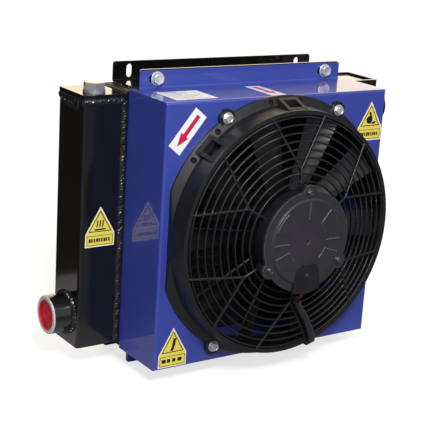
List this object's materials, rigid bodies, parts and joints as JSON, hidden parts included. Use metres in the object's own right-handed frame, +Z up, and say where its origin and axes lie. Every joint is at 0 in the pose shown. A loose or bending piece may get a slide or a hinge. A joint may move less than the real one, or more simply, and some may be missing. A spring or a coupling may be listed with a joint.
{
  "type": "hydraulic oil cooler",
  "caption": "Fan-cooled hydraulic oil cooler: a bar-and-plate core between welded tanks with threaded ports, a sheet-metal shroud and a guarded axial fan with a motor.",
  "frame": {"origin": "bottom centre of the whole cooler's box", "axes": "+Z up, +X towards the right tank's port, -Y out of the fan's face, +Y into the surface that the rear flanges bolt to"},
  "size_m": [0.52, 0.228, 0.387],
  "materials": {
    "blue_paint": "glossy",
    "black_paint": "glossy black paint on aluminium",
    "bare_aluminium": "mill finish",
    "zinc": "zinc plated",
    "black_plastic": "satin moulded",
    "cover_paint": "satin black",
    "red_plastic": "satin",
    "seal_rubber": "matt",
    "red_insulation": "satin",
    "black_insulation": "satin",
    "sleeve_plastic": "satin",
    "motor_steel": "plain",
    "copper": "enamelled wire",
    "ferrite": "plain",
    "carbon": "plain"
  },
  "bodies": {
    "cooler": {"shroud": "blue_paint", "top_bracket": "black_paint", "bottom_bracket": "black_paint", "joint_washers": "zinc", "joint_bolts": "zinc", "joint_nuts": "zinc", "core_oil_tubes": "bare_aluminium", "turbulators": "bare_aluminium", "air_fins": "black_paint", "core_end_bars": "black_paint", "core_top_plate": "black_paint", "core_bottom_plate": "black_paint", "left_tank": "black_paint", "right_tank": "black_paint", "left_tank_caps": "black_paint", "right_tank_caps": "black_paint", "left_port": "black_paint", "right_port": "black_paint", "vent_seal": "seal_rubber", "vent_plug": "zinc", "drain_seal": "seal_rubber", "drain_plug": "zinc", "weld_beads": "black_paint", "fan_housing": "black_plastic", "fan_washers": "zinc", "fan_screws": "zinc", "fan_nuts": "zinc", "motor_cover": "cover_paint", "cover_gasket": "seal_rubber", "cover_screws": "zinc", "cable_lid": "black_plastic", "cable_lid_screw": "zinc", "cable_sleeve": "sleeve_plastic", "red_wire": "red_insulation", "black_wire": "black_insulation", "motor_case": "motor_steel", "rear_bearing": "motor_steel", "front_bearing": "motor_steel", "magnets": "ferrite", "brush_holder": "black_plastic", "brushes": "carbon"},
    "rotor": {"motor_shaft": "motor_steel", "armature": "motor_steel", "windings": "copper", "commutator": "copper", "impeller": "black_plastic", "impeller_nut": "zinc"},
    "transit_plug": {"port_plug": "red_plastic"}
  },
  "joints": [
    {"name": "fan_spin", "type": "hinge", "parent": "cooler", "child": "rotor", "pos_m": [0, -0.0405, 0.1935], "axis": [0, -1, 0], "continuous": true},
    {"name": "plug_pull", "type": "slide", "parent": "cooler", "child": "transit_plug", "axis": [-1, 0, 0], "range_m": [0, 0.03]}
  ]
}
